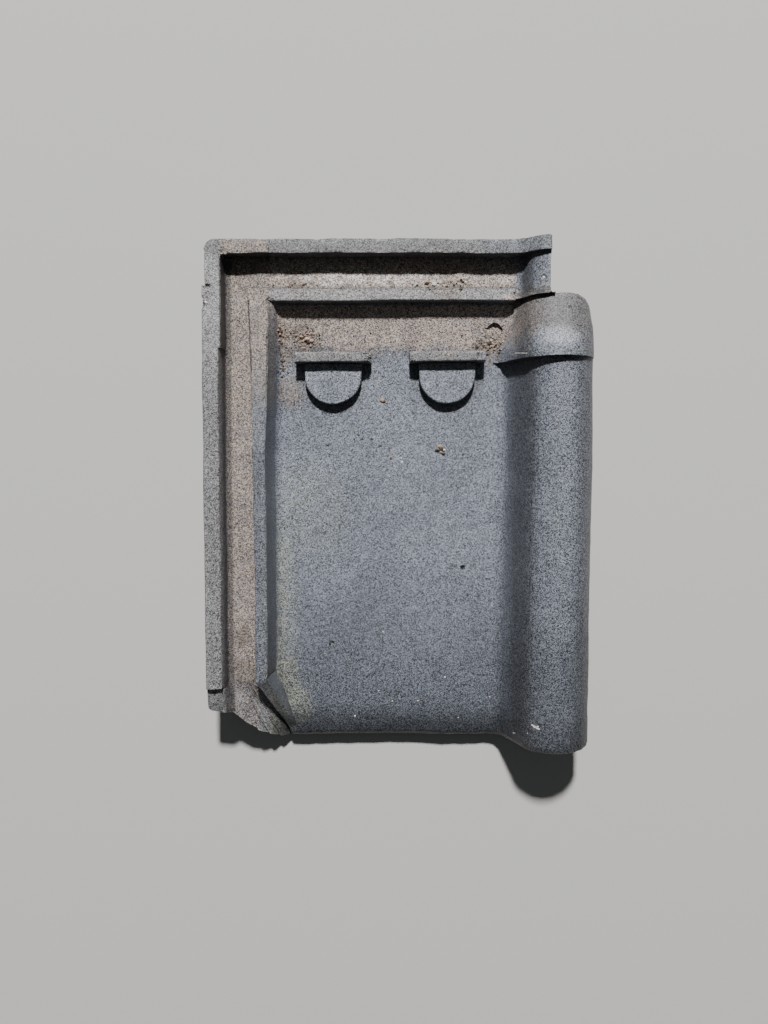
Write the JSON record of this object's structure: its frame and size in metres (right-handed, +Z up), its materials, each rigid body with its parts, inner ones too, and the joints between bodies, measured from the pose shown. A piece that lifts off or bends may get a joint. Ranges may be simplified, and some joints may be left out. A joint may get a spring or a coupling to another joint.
{
  "type": "clay roof tile",
  "caption": "Interlocking clay roof tile with a flat pan, a hollow side roll, a side water groove, head ribs, raised lugs with bars and hanging nibs.",
  "frame": {"origin": "bottom centre of the bounding box, on the floor that the tile rests on", "axes": "+Y from the front (eaves) edge towards the head, +X towards the roll, +Z up; the tile lies upper side up, tipped about X as it rests on its drip lip and nibs"},
  "size_m": [0.232, 0.305, 0.0619],
  "materials": {
    "fired_clay": "matte"
  },
  "bodies": {
    "root": {"roof_tile": "fired_clay"}
  },
  "joints": []
}
